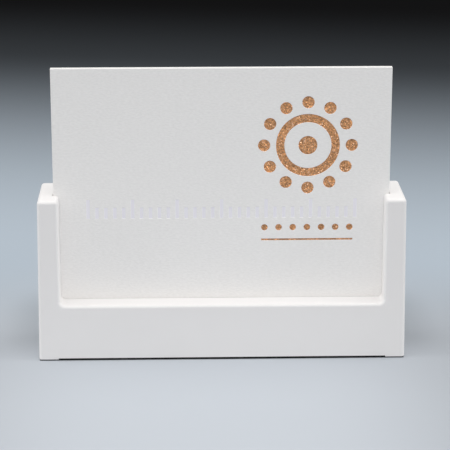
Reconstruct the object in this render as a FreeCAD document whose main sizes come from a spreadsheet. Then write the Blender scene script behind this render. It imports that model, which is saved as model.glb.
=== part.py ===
"""Desk calendar on a moulded stand that also holds a phone.

A pack of cards stands in a slot between two arms, behind a low front wall. Behind the cards a
backrest, a trough and a lip hold a phone, which faces the other way. The stand is a hollow
moulding, closed from below by a screwed plate, on two soft strips.

Millimetres. +Z is up, the cards face -Y, and the origin is on the desk under the middle.
"""
import FreeCAD, Part
import os

import Sketcher
from FreeCAD import Vector

SIZES = {
    # Cards
    "card_width": 165.0,
    "card_height": 120.0,
    "cover_thickness": 0.8,
    "month_thickness": 0.18,
    "card_gap": 0.05,
    # Stand, seen from the front
    "ledge_height": 28.2,
    "arm_rise": 53.2,
    "arm_width": 10.1,
    "arm_overlap": 2.65,
    "seat_depth": 3.65,
    "side_draft": 0.56,
    "face_draft": 1.4,
    "corner_radius": 2.5,
    "outer_radius": 1.7,
    "base_radius": 0.4,
    "rim_radius": 1.4,
    # Stand, from front to rear
    "bezel_depth": 10.1,
    "slot_clearance": 0.2,
    "side_clearance": 0.5,
    "backrest_thickness": 3.0,
    "trough_width": 15.7,
    "lip_thickness": 3.1,
    # Phone rest
    "deck_height": 27.8,
    "backrest_rise": 28.0,
    "trough_depth": 9.0,
    "trough_inset": 4.0,
    "trough_radius": 3.0,
    "notch_width": 13.0,
    "notch_radius": 4.0,
    "rest_pad_side": 2.65,
    "rest_pad_end": 20.0,
    "back_pad_end": 24.0,
    "back_pad_height": 9.0,
    "back_pad_drop": 3.0,
    "phone_pad_thickness": 1.1,
    "phone_pad_recess": 0.5,
    "phone_pad_clearance": 0.1,
    "phone_pad_radius": 2.0,
    # Underside
    "wall": 2.4,
    "rim_thickness": 1.3,
    "leg_gap": 0.5,
    "leg_width": 9.6,
    "wall_relief": 0.7,
    "foot_height": 1.2,
    "foot_width": 3.0,
    "foot_setback": 0.35,
    "foot_end_gap": 0.4,
    "foot_radius": 0.8,
    "plate_thickness": 2.2,
    "plate_clearance": 0.2,
    "plate_radius": 0.8,
    # Screws
    "screw_inset": 14.0,
    "screw_diameter": 2.4,
    "screw_length": 8.0,
    "thread_clearance": 0.05,
    "hole_clearance": 0.3,
    "head_diameter": 4.6,
    "head_height": 1.1,
    "head_inset": 0.1,
    "head_clearance": 0.25,
    "drive_length": 2.6,
    "drive_width": 0.6,
    "drive_depth": 0.6,
    "boss_diameter": 6.4,
    "hole_spare": 1.0,
    # Pressed into the cover: in foil a wheel of dots, a row of dots and a rule, and blind a ruler of days
    "deboss_depth": 0.4,
    "deboss_edge": 0.12,
    "foil_thickness": 0.06,
    "wheel_side_margin": 16.0,
    "wheel_top_margin": 14.0,
    "wheel_disc_radius": 4.6,
    "wheel_disc_gap": 6.9,
    "wheel_ring_stroke": 4.1,
    "wheel_dot_gap": 2.8,
    "wheel_dot_radius": 3.0,
    "ruler_drop": 2.6,
    "ruler_side_margin": 16.0,
    "bar_width": 1.7,
    "bar_short": 5.6,
    "bar_tall": 9.6,
    "bar_depth": 0.16,
    "row_drop": 3.4,
    "row_dot_radius": 1.6,
    "row_dot_gap": 3.8,
    "rule_drop": 4.2,
    "rule_height": 0.9,
}
MONTHS = 12
WHEEL_DOTS = 12
ROW_DOTS = 7
RULER_BARS = 31
TALL_BARS = 7

doc = FreeCAD.newDocument("desk_calendar")
sheet = doc.addObject("Spreadsheet::Sheet", "dim")
for row, (alias, number) in enumerate(SIZES.items(), 1):
    sheet.set(f"A{row}", alias)
    sheet.set(f"B{row}", str(number))
    sheet.setAlias(f"B{row}", alias)
doc.recompute()

# Heights above the desk
ARM_TOP = "(dim.ledge_height + dim.arm_rise)"
SLOT_FLOOR = "(dim.ledge_height - dim.seat_depth)"
TROUGH_FLOOR = "(dim.deck_height - dim.trough_depth)"
BACKREST_TOP = "(dim.deck_height + dim.backrest_rise)"
PLATE_TOP = "(dim.foot_height + dim.plate_thickness)"
HEAD_SEAT = "(dim.foot_height + dim.head_inset + dim.head_height)"

# Half lengths from the middle to each side
WINDOW_HALF = "(dim.card_width / 2 - dim.arm_overlap)"
TOP_HALF = f"({WINDOW_HALF} + dim.arm_width)"
SLOT_HALF = "(dim.card_width / 2 + dim.side_clearance)"
TROUGH_HALF = f"({WINDOW_HALF} - dim.trough_inset)"
SCREW_X = f"({WINDOW_HALF} - dim.screw_inset)"

# Depths from front to rear
STACK = f"(dim.cover_thickness + {MONTHS} * (dim.card_gap + dim.month_thickness))"
SLOT_WIDTH = f"({STACK} + 2 * dim.slot_clearance)"
TOP_DEPTH = (f"(dim.bezel_depth + {SLOT_WIDTH} + dim.backrest_thickness"
             " + dim.trough_width + dim.lip_thickness)")
SLOT_FRONT = f"(dim.bezel_depth - {TOP_DEPTH} / 2)"
SLOT_BACK = f"({SLOT_FRONT} + {SLOT_WIDTH})"
BACKREST_BACK = f"({SLOT_BACK} + dim.backrest_thickness)"
LIP_FRONT = f"({BACKREST_BACK} + dim.trough_width)"
TROUGH_MIDDLE = f"({BACKREST_BACK} + dim.trough_width / 2)"
COVER_FRONT = f"({SLOT_FRONT} + dim.slot_clearance)"

# Phone pads: half length, middle and half width of each
REST_PAD = (f"({TROUGH_HALF} - dim.rest_pad_end)", TROUGH_MIDDLE,
            "(dim.trough_width / 2 - dim.rest_pad_side)")
BACK_PAD = (f"({WINDOW_HALF} - dim.back_pad_end)",
            f"({BACKREST_TOP} - dim.back_pad_drop - dim.back_pad_height / 2)", "(dim.back_pad_height / 2)")


def half_width_at(height):
    """Half the stand's width at a height, between its drafted sides."""
    return f"({TOP_HALF} + ({ARM_TOP} - {height}) * tan(dim.side_draft))"


def half_depth_at(height):
    """Half the stand's depth at a height, between its drafted front and rear."""
    return f"({TOP_DEPTH} / 2 + ({ARM_TOP} - {height}) * tan(dim.face_draft))"


BASE_HALF_WIDTH = half_width_at("dim.leg_gap")
BASE_HALF_DEPTH = half_depth_at("dim.leg_gap")
LEG_INNER = f"({BASE_HALF_WIDTH} - dim.leg_width)"
FRONT_SCREW_Y = f"(({SLOT_FRONT} - {BASE_HALF_DEPTH}) / 2)"
SCREW_PLACES = [(f"{side}{SCREW_X}", depth)
                for depth in (FRONT_SCREW_Y, TROUGH_MIDDLE) for side in ("-", "")]


def value(expression):
    """The number that an expression on the sheet gives now."""
    return float(sheet.evalExpression(expression))


def new_body(name):
    """An empty body whose label names its file."""
    body = doc.addObject("PartDesign::Body", name)
    body.Label = name
    body.AllowCompound = True
    return body


def new_sketch(body, role, name, lift):
    """A sketch on one of the body's own origin planes, moved along the plane's normal."""
    sketch = body.newObject("Sketcher::SketchObject", name)
    plane = next(item for item in body.Origin.OriginFeatures if item.Role == role)
    sketch.AttachmentSupport = [(plane, "")]
    sketch.MapMode = "FlatFace"
    sketch.setExpression("AttachmentOffset.Base.z", lift)
    return sketch


def level_sketch(body, name, height):
    """A sketch that lies level: its axes are +X and +Y, its normal is +Z."""
    return new_sketch(body, "XY_Plane", name, height)


def upright_sketch(body, name, depth):
    """A sketch that stands across the stand: its axes are +X and +Z, its normal is -Y."""
    return new_sketch(body, "XZ_Plane", name, f"-({depth})")


def tie(sketch, kind, geometry, point, expression):
    """Holds one coordinate of a point at an expression, counted from the sketch's origin."""
    ends = (-1, 1, geometry, point)
    if value(expression) < 0:
        ends = (geometry, point, -1, 1)
        expression = f"-({expression})"
    index = sketch.addConstraint(Sketcher.Constraint(kind, *ends, value(expression)))
    sketch.setExpression(f"Constraints[{index}]", expression)


def tie_radius(sketch, geometry, expression):
    """Holds a circle or an arc at a radius."""
    index = sketch.addConstraint(Sketcher.Constraint("Radius", geometry, value(expression)))
    sketch.setExpression(f"Constraints[{index}]", expression)


def draw_circle(sketch, across, along, radius):
    """A circle about the point (across, along)."""
    centre = Vector(value(across), value(along), 0)
    circle = sketch.addGeometry(Part.Circle(centre, Vector(0, 0, 1), value(radius)))
    tie(sketch, "DistanceX", circle, 3, across)
    tie(sketch, "DistanceY", circle, 3, along)
    tie_radius(sketch, circle, radius)


def draw_rectangle(sketch, left, right, low, high):
    """A rectangle between four expressions."""
    x0, x1, y0, y1 = (value(side) for side in (left, right, low, high))
    corners = [Vector(x0, y0, 0), Vector(x1, y0, 0), Vector(x1, y1, 0), Vector(x0, y1, 0)]
    lines = [sketch.addGeometry(Part.LineSegment(corners[i], corners[(i + 1) % 4])) for i in range(4)]
    for i, line in enumerate(lines):
        sketch.addConstraint(Sketcher.Constraint("Coincident", line, 2, lines[(i + 1) % 4], 1))
        sketch.addConstraint(Sketcher.Constraint("Vertical" if i % 2 else "Horizontal", line))
    tie(sketch, "DistanceY", lines[0], 1, low)
    tie(sketch, "DistanceX", lines[1], 1, right)
    tie(sketch, "DistanceY", lines[2], 1, high)
    tie(sketch, "DistanceX", lines[3], 1, left)


def draw_rounded(sketch, left, right, low, high, radius):
    """A rectangle between four expressions, with four equal round corners."""
    x0, x1, y0, y1, r = (value(side) for side in (left, right, low, high, radius))
    runs = [(Vector(x0 + r, y0, 0), Vector(x1 - r, y0, 0)), (Vector(x1, y0 + r, 0), Vector(x1, y1 - r, 0)),
            (Vector(x1 - r, y1, 0), Vector(x0 + r, y1, 0)), (Vector(x0, y1 - r, 0), Vector(x0, y0 + r, 0))]
    lines = [sketch.addGeometry(Part.LineSegment(*run)) for run in runs]
    arcs = []
    for i, run in enumerate(runs):
        start, end = run[1], runs[(i + 1) % 4][0]
        corner = Vector(end.x, start.y, 0) if i % 2 == 0 else Vector(start.x, end.y, 0)
        centre = start + end - corner
        middle = centre + (corner - centre).normalize() * r
        arcs.append(sketch.addGeometry(Part.Arc(start, middle, end)))
    for i, line in enumerate(lines):
        sketch.addConstraint(Sketcher.Constraint("Tangent", line, 2, arcs[i], 1))
        sketch.addConstraint(Sketcher.Constraint("Tangent", arcs[i], 2, lines[(i + 1) % 4], 1))
        sketch.addConstraint(Sketcher.Constraint("Vertical" if i % 2 else "Horizontal", line))
    for arc in arcs[1:]:
        sketch.addConstraint(Sketcher.Constraint("Equal", arcs[0], arc))
    tie_radius(sketch, arcs[0], radius)
    tie(sketch, "DistanceY", lines[0], 1, low)
    tie(sketch, "DistanceX", lines[1], 1, right)
    tie(sketch, "DistanceY", lines[2], 1, high)
    tie(sketch, "DistanceX", lines[3], 1, left)


def add_pad(body, sketch, name, length, reverse=False, both_ways=False):
    """Adds the sketch's outline along its normal, or against it, or half each way."""
    pad = body.newObject("PartDesign::Pad", name)
    pad.Profile = sketch
    pad.Reversed = reverse
    pad.Midplane = both_ways
    pad.setExpression("Length", length)
    doc.recompute()
    return pad


def add_pocket(body, sketch, name, length=None, along_normal=True):
    """Cuts the sketch's outline along its normal or against it, to a length or right through."""
    before = body.Shape.Volume
    pocket = body.newObject("PartDesign::Pocket", name)
    pocket.Profile = sketch
    pocket.Reversed = along_normal
    if length is None:
        pocket.Type = "ThroughAll"
    else:
        pocket.setExpression("Length", length)
    doc.recompute()
    if body.Shape.Volume >= before:
        raise RuntimeError(f"{name} cuts nothing")
    return pocket


def add_wedge(body, kind, name, levels, outlines):
    """A straight-sided taper between a low and a high outline, each left, right, front and rear."""
    wedge = body.newObject(f"PartDesign::{kind}", name)
    plane = next(item for item in body.Origin.OriginFeatures if item.Role == "XZ_Plane")
    wedge.AttachmentSupport = [(plane, "")]
    wedge.MapMode = "FlatFace"
    for limit, level, number, (left, right, front, rear) in zip(("min", "max"), levels, ("", "2"), outlines):
        wedge.setExpression(f"Y{limit}", level)
        wedge.setExpression(f"X{number}min", left)
        wedge.setExpression(f"X{number}max", right)
        wedge.setExpression(f"Z{number}min", f"-({rear})")
        wedge.setExpression(f"Z{number}max", f"-({front})")
    doc.recompute()
    return wedge


def soften(body, kind, name, size, belongs):
    """Fillets or chamfers the edges of the body that belong."""
    base = body.Tip
    names = [f"Edge{i}" for i, edge in enumerate(base.Shape.Edges, 1) if belongs(edge)]
    feature = body.newObject(f"PartDesign::{kind}", name)
    feature.Base = (base, names)
    feature.setExpression("Radius" if kind == "Fillet" else "Size", size)
    doc.recompute()
    return feature


def middle_of(edge):
    """The point halfway along an edge."""
    return edge.valueAt((edge.FirstParameter + edge.LastParameter) / 2)


TINY = 0.01


def runs_fore_and_aft(edge):
    """Whether an edge is straight and runs along Y."""
    start, end = edge.firstVertex().Point, edge.lastVertex().Point
    return abs(start.x - end.x) < TINY and abs(start.z - end.z) < TINY


def is_window_rim(edge):
    """Whether an edge is on the outer rim of the front or rear opening between the arms."""
    point = middle_of(edge)
    lowest = min(value("dim.ledge_height"), value("dim.deck_height"))
    if abs(point.x) > value(WINDOW_HALF) + TINY or point.z < lowest - TINY:
        return False
    if value(SLOT_FRONT) - TINY < point.y < value(SLOT_BACK) + TINY:
        return False
    return not runs_fore_and_aft(edge) or abs(point.z - value(ARM_TOP)) < TINY


def make_block(body):
    """The drafted outer form of the stand, with softened edges."""
    base = (f"-{BASE_HALF_WIDTH}", BASE_HALF_WIDTH, f"-{BASE_HALF_DEPTH}", BASE_HALF_DEPTH)
    top = (f"-{TOP_HALF}", TOP_HALF, f"-{TOP_DEPTH} / 2", f"{TOP_DEPTH} / 2")
    add_wedge(body, "AdditiveWedge", "block", ("dim.leg_gap", ARM_TOP), (base, top))
    floor = value("dim.leg_gap")
    soften(body, "Fillet", "outer_edges", "dim.outer_radius", lambda edge: middle_of(edge).z > floor + TINY)
    soften(body, "Fillet", "base_edges", "dim.base_radius", lambda edge: middle_of(edge).z < floor + TINY)


def cut_openings(body):
    """The front window, the rear opening and the card slot, with the openings' rims rounded."""
    above = f"({ARM_TOP} + dim.corner_radius + dim.rim_radius)"
    front = upright_sketch(body, "window_outline", SLOT_FRONT)
    draw_rounded(front, f"-{WINDOW_HALF}", WINDOW_HALF, "dim.ledge_height", above, "dim.corner_radius")
    add_pocket(body, front, "front_window")
    rear = upright_sketch(body, "rear_outline", SLOT_BACK)
    draw_rounded(rear, f"-{WINDOW_HALF}", WINDOW_HALF, "dim.deck_height", above, "dim.corner_radius")
    add_pocket(body, rear, "rear_opening", along_normal=False)
    slot = level_sketch(body, "slot_outline", SLOT_FLOOR)
    draw_rectangle(slot, f"-{SLOT_HALF}", SLOT_HALF, SLOT_FRONT, SLOT_BACK)
    add_pocket(body, slot, "card_slot")
    soften(body, "Fillet", "opening_rims", "dim.rim_radius", is_window_rim)


def make_phone_rest(body):
    """The trough in the deck, the backrest behind the cards, the cable notch and the pads' recesses."""
    trough = level_sketch(body, "trough_outline", TROUGH_FLOOR)
    draw_rounded(trough, f"-{TROUGH_HALF}", TROUGH_HALF, BACKREST_BACK, LIP_FRONT, "dim.trough_radius")
    add_pocket(body, trough, "phone_trough")
    deck = value("dim.deck_height")
    reach = value(TROUGH_HALF) + TINY
    behind = value(BACKREST_BACK) - TINY
    rear = value(LIP_FRONT) + TINY

    def is_trough_rim(edge):
        point = middle_of(edge)
        return abs(point.z - deck) < TINY and abs(point.x) < reach and behind < point.y < rear

    soften(body, "Fillet", "trough_rim", "dim.rim_radius", is_trough_rim)
    side = new_sketch(body, "YZ_Plane", "backrest_profile", "0")
    draw_backrest(side)
    add_pad(body, side, "backrest", f"2 * {WINDOW_HALF}", both_ways=True)
    notch = upright_sketch(body, "notch_outline", TROUGH_MIDDLE)
    half = "dim.notch_width / 2"
    draw_rounded(notch, f"-{half}", half, TROUGH_FLOOR, ARM_TOP, "dim.notch_radius")
    add_pocket(body, notch, "cable_notch", along_normal=False)
    seat = level_sketch(body, "rest_pad_recess_outline", TROUGH_FLOOR)
    draw_phone_pad(seat, REST_PAD, "dim.phone_pad_clearance")
    add_pocket(body, seat, "rest_pad_recess", "dim.phone_pad_recess", along_normal=False)
    back = upright_sketch(body, "back_pad_recess_outline", BACKREST_BACK)
    draw_phone_pad(back, BACK_PAD, "dim.phone_pad_clearance")
    add_pocket(body, back, "back_pad_recess", "dim.phone_pad_recess")


def draw_backrest(sketch):
    """The backrest's section: two upright sides and a round top, from the trough's floor up."""
    front, back = value(SLOT_BACK), value(BACKREST_BACK)
    low, high = value(TROUGH_FLOOR), value(BACKREST_TOP)
    bend = high - (back - front) / 2
    foot = sketch.addGeometry(Part.LineSegment(Vector(front, low, 0), Vector(back, low, 0)))
    rear = sketch.addGeometry(Part.LineSegment(Vector(back, low, 0), Vector(back, bend, 0)))
    crown = Part.Arc(Vector(back, bend, 0), Vector((front + back) / 2, high, 0), Vector(front, bend, 0))
    top = sketch.addGeometry(crown)
    face = sketch.addGeometry(Part.LineSegment(Vector(front, bend, 0), Vector(front, low, 0)))
    sketch.addConstraint([
        Sketcher.Constraint("Coincident", foot, 2, rear, 1),
        Sketcher.Constraint("Tangent", rear, 2, top, 1),
        Sketcher.Constraint("Tangent", top, 2, face, 1),
        Sketcher.Constraint("Coincident", face, 2, foot, 1),
        Sketcher.Constraint("Horizontal", foot),
        Sketcher.Constraint("Vertical", rear),
        Sketcher.Constraint("Vertical", face),
    ])
    tie(sketch, "DistanceX", foot, 1, SLOT_BACK)
    tie(sketch, "DistanceX", foot, 2, BACKREST_BACK)
    tie(sketch, "DistanceY", foot, 1, TROUGH_FLOOR)
    tie(sketch, "DistanceY", top, 3, f"{BACKREST_TOP} - dim.backrest_thickness / 2")


def draw_phone_pad(sketch, pad, clearance):
    """A phone pad's outline about the stand's middle plane, grown by a clearance."""
    length, middle, width = pad
    reach = f"({length} + {clearance})"
    half = f"({width} + {clearance})"
    draw_rounded(sketch, f"-{reach}", reach, f"{middle} - {half}", f"{middle} + {half}",
                 "dim.phone_pad_radius")


def hollow_out(body):
    """The relief between the legs, the plate's recess and the hollow above it."""
    past = f"({BASE_HALF_DEPTH} + dim.wall)"
    relief = level_sketch(body, "relief_outline", "dim.leg_gap")
    draw_rectangle(relief, f"-{LEG_INNER}", LEG_INNER, f"-{past}", past)
    add_pocket(body, relief, "wall_relief", "dim.wall_relief")
    recess = level_sketch(body, "plate_recess_outline", "dim.leg_gap")
    draw_plate(recess, "0")
    add_pocket(body, recess, "plate_recess", f"{PLATE_TOP} - dim.leg_gap")
    inner_x = f"({BASE_HALF_WIDTH} - dim.wall)"
    inner_y = f"({BASE_HALF_DEPTH} - dim.wall)"
    under_slot = f"({SLOT_FRONT} - dim.wall)"
    under_trough = f"({BACKREST_BACK} - dim.wall)"
    hollows = [("front_hollow", f"-{inner_y}", under_slot, "dim.ledge_height"),
               ("slot_hollow", under_slot, under_trough, SLOT_FLOOR),
               ("trough_hollow", under_trough, inner_y, f"({TROUGH_FLOOR} - dim.phone_pad_recess)")]
    for name, front, rear, roof in hollows:
        plan = level_sketch(body, f"{name}_outline", PLATE_TOP)
        draw_rectangle(plan, f"-{inner_x}", inner_x, front, rear)
        add_pocket(body, plan, name, f"{roof} - dim.wall - {PLATE_TOP}")
    cores = [add_arm_core(body, "front_core", front=True), add_arm_core(body, "rear_core", front=False)]
    mirror = body.newObject("PartDesign::Mirrored", "left_arm_cores")
    mirror.Originals = cores
    plane = next(item for item in body.Origin.OriginFeatures if item.Role == "YZ_Plane")
    mirror.MirrorPlane = (plane, [""])
    body.Tip = mirror
    doc.recompute()


def add_arm_core(body, name, front):
    """The tapering hollow inside the right arm, before or behind the card slot."""
    levels = (PLATE_TOP, f"({ARM_TOP} - dim.wall)")
    outlines = []
    for height in levels:
        outer = f"({half_depth_at(height)} - dim.wall)"
        ends = (f"-{outer}", f"({SLOT_FRONT} - dim.wall)") if front else (f"({SLOT_BACK} + dim.wall)", outer)
        outlines.append((f"({WINDOW_HALF} + dim.wall)", f"({half_width_at(height)} - dim.wall)", *ends))
    return add_wedge(body, "SubtractiveWedge", name, levels, outlines)


def add_bosses(body):
    """Four screw bosses that reach down to the plate, each with its hole."""
    roofs = {FRONT_SCREW_Y: "dim.ledge_height", TROUGH_MIDDLE: f"({TROUGH_FLOOR} - dim.phone_pad_recess)"}
    for name, depth in (("front_bosses", FRONT_SCREW_Y), ("rear_bosses", TROUGH_MIDDLE)):
        plan = level_sketch(body, f"{name}_outline", PLATE_TOP)
        for side in ("-", ""):
            draw_circle(plan, f"{side}{SCREW_X}", depth, "dim.boss_diameter / 2")
        add_pad(body, plan, name, f"{roofs[depth]} - dim.wall / 2 - {PLATE_TOP}")
    holes = level_sketch(body, "boss_holes_outline", PLATE_TOP)
    for across, along in SCREW_PLACES:
        draw_circle(holes, across, along, "dim.screw_diameter / 2 + dim.thread_clearance")
    add_pocket(body, holes, "boss_holes", f"{HEAD_SEAT} + dim.screw_length + dim.hole_spare - {PLATE_TOP}")


def make_housing():
    """The stand's one-piece moulding."""
    body = new_body("housing")
    make_block(body)
    cut_openings(body)
    make_phone_rest(body)
    hollow_out(body)
    add_bosses(body)
    return body


def draw_plate(sketch, clearance):
    """The plate's outline inside the stand's rim, shrunk by a clearance."""
    reach = f"({BASE_HALF_WIDTH} - dim.rim_thickness - {clearance})"
    half = f"({BASE_HALF_DEPTH} - dim.rim_thickness - {clearance})"
    draw_rounded(sketch, f"-{reach}", reach, f"-{half}", half, "dim.plate_radius")


def make_bottom_plate():
    """The plate that closes the stand, with a sunk seat for each screw head."""
    body = new_body("bottom_plate")
    plan = level_sketch(body, "plate_outline", "dim.foot_height")
    draw_plate(plan, "dim.plate_clearance")
    add_pad(body, plan, "plate", "dim.plate_thickness")
    seats = level_sketch(body, "head_seats_outline", "dim.foot_height")
    holes = level_sketch(body, "screw_holes_outline", "dim.foot_height")
    for across, along in SCREW_PLACES:
        draw_circle(seats, across, along, "dim.head_diameter / 2 + dim.head_clearance")
        draw_circle(holes, across, along, "dim.screw_diameter / 2 + dim.hole_clearance")
    add_pocket(body, seats, "head_seats", f"{HEAD_SEAT} - dim.foot_height")
    add_pocket(body, holes, "screw_holes")
    return body


def make_plate_screws():
    """Four equal screws, heads down, with a cross drive."""
    body = new_body("plate_screws")
    head_low = "(dim.foot_height + dim.head_inset)"
    heads = level_sketch(body, "heads_outline", head_low)
    shanks = level_sketch(body, "shanks_outline", HEAD_SEAT)
    slots = [level_sketch(body, name, head_low) for name in ("drive_across_outline", "drive_along_outline")]
    for across, along in SCREW_PLACES:
        draw_circle(heads, across, along, "dim.head_diameter / 2")
        draw_circle(shanks, across, along, "dim.screw_diameter / 2")
        for slot, (wide, deep) in zip(slots, (("length", "width"), ("width", "length"))):
            half_x = f"dim.drive_{wide} / 2"
            half_y = f"dim.drive_{deep} / 2"
            draw_rectangle(slot, f"{across} - {half_x}", f"{across} + {half_x}",
                           f"{along} - {half_y}", f"{along} + {half_y}")
    add_pad(body, heads, "heads", "dim.head_height")
    add_pad(body, shanks, "shanks", "dim.screw_length")
    for slot, name in zip(slots, ("drive_across", "drive_along")):
        add_pocket(body, slot, name, "dim.drive_depth")
    return body


def make_foot(name, side):
    """A soft strip between the legs, stuck under the front or the rear edge."""
    body = new_body(name)
    reach = f"({LEG_INNER} - dim.foot_end_gap)"
    outer = f"({BASE_HALF_DEPTH} - dim.foot_setback)"
    sides = [f"{outer} - dim.foot_width", outer]
    if side < 0:
        sides = [f"-({edge})" for edge in reversed(sides)]
    plan = level_sketch(body, f"{name}_outline", "0")
    draw_rounded(plan, f"-{reach}", reach, *sides, "dim.foot_radius")
    add_pad(body, plan, f"{name}_strip", "dim.foot_height")
    return body


def make_phone_rest_pad():
    """The soft strip that the phone stands on."""
    body = new_body("phone_rest_pad")
    plan = level_sketch(body, "rest_pad_outline", f"{TROUGH_FLOOR} - dim.phone_pad_recess")
    draw_phone_pad(plan, REST_PAD, "0")
    add_pad(body, plan, "rest_pad", "dim.phone_pad_thickness")
    return body


def make_phone_back_pad():
    """The soft strip that the phone leans on."""
    body = new_body("phone_back_pad")
    face = upright_sketch(body, "back_pad_outline", f"{BACKREST_BACK} - dim.phone_pad_recess")
    draw_phone_pad(face, BACK_PAD, "0")
    add_pad(body, face, "back_pad", "dim.phone_pad_thickness", reverse=True)
    return body


CARD_TOP = f"({SLOT_FLOOR} + dim.card_height)"
RING_INNER = "(dim.wheel_disc_radius + dim.wheel_disc_gap)"
RING_OUTER = f"({RING_INNER} + dim.wheel_ring_stroke)"
DOT_CIRCLE = f"({RING_OUTER} + dim.wheel_dot_gap + dim.wheel_dot_radius)"
WHEEL_REACH = f"({DOT_CIRCLE} + dim.wheel_dot_radius)"
WHEEL_X = f"(dim.card_width / 2 - dim.wheel_side_margin - {WHEEL_REACH})"
WHEEL_Z = f"({CARD_TOP} - dim.wheel_top_margin - {WHEEL_REACH})"
RULER_LEFT = "(dim.ruler_side_margin - dim.card_width / 2)"
RULER_SPAN = "(dim.card_width - 2 * dim.ruler_side_margin - dim.bar_width)"
RULER_BASE = f"({WHEEL_Z} - {WHEEL_REACH} - dim.ruler_drop - dim.bar_tall)"
ROW_Z = f"({RULER_BASE} - dim.row_drop - dim.row_dot_radius)"
ROW_PITCH = "(2 * dim.row_dot_radius + dim.row_dot_gap)"
RULE_TOP = f"({ROW_Z} - dim.row_dot_radius - dim.rule_drop)"
RULE_HALF = f"({ROW_PITCH} * {(ROW_DOTS - 1) / 2} + dim.row_dot_radius)"


def draw_motif(sketch):
    """The foil motif: a disc in a ring with a circle of dots, then a row of dots over a rule."""
    for radius in ("dim.wheel_disc_radius", RING_INNER, RING_OUTER):
        draw_circle(sketch, WHEEL_X, WHEEL_Z, radius)
    for dot in range(WHEEL_DOTS):
        turn = 360 / WHEEL_DOTS * dot
        draw_circle(sketch, f"{WHEEL_X} + {DOT_CIRCLE} * sin({turn})",
                    f"{WHEEL_Z} + {DOT_CIRCLE} * cos({turn})", "dim.wheel_dot_radius")
    for dot in range(ROW_DOTS):
        step = dot - (ROW_DOTS - 1) / 2
        draw_circle(sketch, f"{WHEEL_X} + {ROW_PITCH} * ({step})", ROW_Z, "dim.row_dot_radius")
    draw_rectangle(sketch, f"{WHEEL_X} - {RULE_HALF}", f"{WHEEL_X} + {RULE_HALF}",
                   f"{RULE_TOP} - dim.rule_height", RULE_TOP)


def press_ruler(body):
    """A row of short bars on one base line, with a tall bar at every fifth."""
    kinds = (("short_bars", "dim.bar_short", RULER_BARS), ("tall_bars", "dim.bar_tall", TALL_BARS))
    for name, height, count in kinds:
        outline = upright_sketch(body, f"{name}_outline", COVER_FRONT)
        draw_rectangle(outline, RULER_LEFT, f"{RULER_LEFT} + dim.bar_width",
                       RULER_BASE, f"{RULER_BASE} + {height}")
        bar = add_pocket(body, outline, name, "dim.bar_depth", along_normal=False)
        row = body.newObject("PartDesign::LinearPattern", f"{name}_row")
        row.Originals = [bar]
        row.Direction = (outline, ["H_Axis"])
        row.setExpression("Length", RULER_SPAN)
        row.Occurrences = count
        body.Tip = row
        doc.recompute()


def make_cover_card():
    """The thick front card, pressed in where the foil goes."""
    body = new_body("cover_card")
    outline = upright_sketch(body, "cover_outline", COVER_FRONT)
    draw_rectangle(outline, "-dim.card_width / 2", "dim.card_width / 2", SLOT_FLOOR, CARD_TOP)
    add_pad(body, outline, "cover", "dim.cover_thickness", reverse=True)
    press_ruler(body)
    motif = upright_sketch(body, "deboss_outline", COVER_FRONT)
    draw_motif(motif)
    add_pocket(body, motif, "deboss", "dim.deboss_depth", along_normal=False)
    face = value(COVER_FRONT)
    half = value("dim.card_width / 2")
    low, high = value(SLOT_FLOOR), value(CARD_TOP)

    def is_deboss_edge(edge):
        point = middle_of(edge)
        inside = abs(point.x) < half - TINY and low + TINY < point.z < high - TINY
        return inside and all(abs(edge.valueAt(at).y - face) < TINY / 10 for at in edge.ParameterRange)

    soften(body, "Chamfer", "deboss_edges", "dim.deboss_edge", is_deboss_edge)
    return body


def make_cover_foil():
    """The foil on the floor of each pressed shape."""
    body = new_body("cover_foil")
    motif = upright_sketch(body, "foil_outline", f"{COVER_FRONT} + dim.deboss_depth")
    draw_motif(motif)
    add_pad(body, motif, "foil", "dim.foil_thickness")
    return body


def make_month_card(number):
    """One plain card of the stack, counted from the cover backwards."""
    card = doc.addObject("Part::Box", f"month_card_{number:02d}")
    pitch = "(dim.card_gap + dim.month_thickness)"
    front = f"{COVER_FRONT} + dim.cover_thickness + dim.card_gap + {number - 1} * {pitch}"
    card.setExpression("Length", "dim.card_width")
    card.setExpression("Width", "dim.month_thickness")
    card.setExpression("Height", "dim.card_height")
    card.setExpression("Placement.Base.x", "-dim.card_width / 2")
    card.setExpression("Placement.Base.y", front)
    card.setExpression("Placement.Base.z", SLOT_FLOOR)
    return card


def write_parts(pieces):
    """Checks every object and every piece, then writes one file for each piece."""
    doc.recompute()
    for item in doc.Objects:
        if "Invalid" in item.State or "Error" in item.State:
            raise RuntimeError(f"{item.Label} failed: {item.State}")
    for piece in pieces:
        if piece.Shape.isNull() or not piece.Shape.isValid():
            raise RuntimeError(f"{piece.Label} has no valid shape")
    os.makedirs("parts", exist_ok=True)
    for piece in pieces:
        piece.Shape.exportStep(f"parts/{piece.Label}.step")
        print(piece.Label, len(piece.Shape.Solids), round(piece.Shape.Volume, 1))


pieces = [make_housing(), make_bottom_plate(), make_plate_screws(),
          make_foot("foot_pad_front", -1), make_foot("foot_pad_rear", 1),
          make_phone_rest_pad(), make_phone_back_pad(), make_cover_card(), make_cover_foil()]
pieces += [make_month_card(number) for number in range(1, MONTHS + 1)]
write_parts(pieces)
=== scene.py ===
"""Finishes, prints, stage and camera for a desk calendar with a phone stand."""

import math

import bmesh
import bpy
from bpy.props import FloatProperty, FloatVectorProperty, IntProperty, PointerProperty
from mathutils import Matrix, Vector


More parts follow.
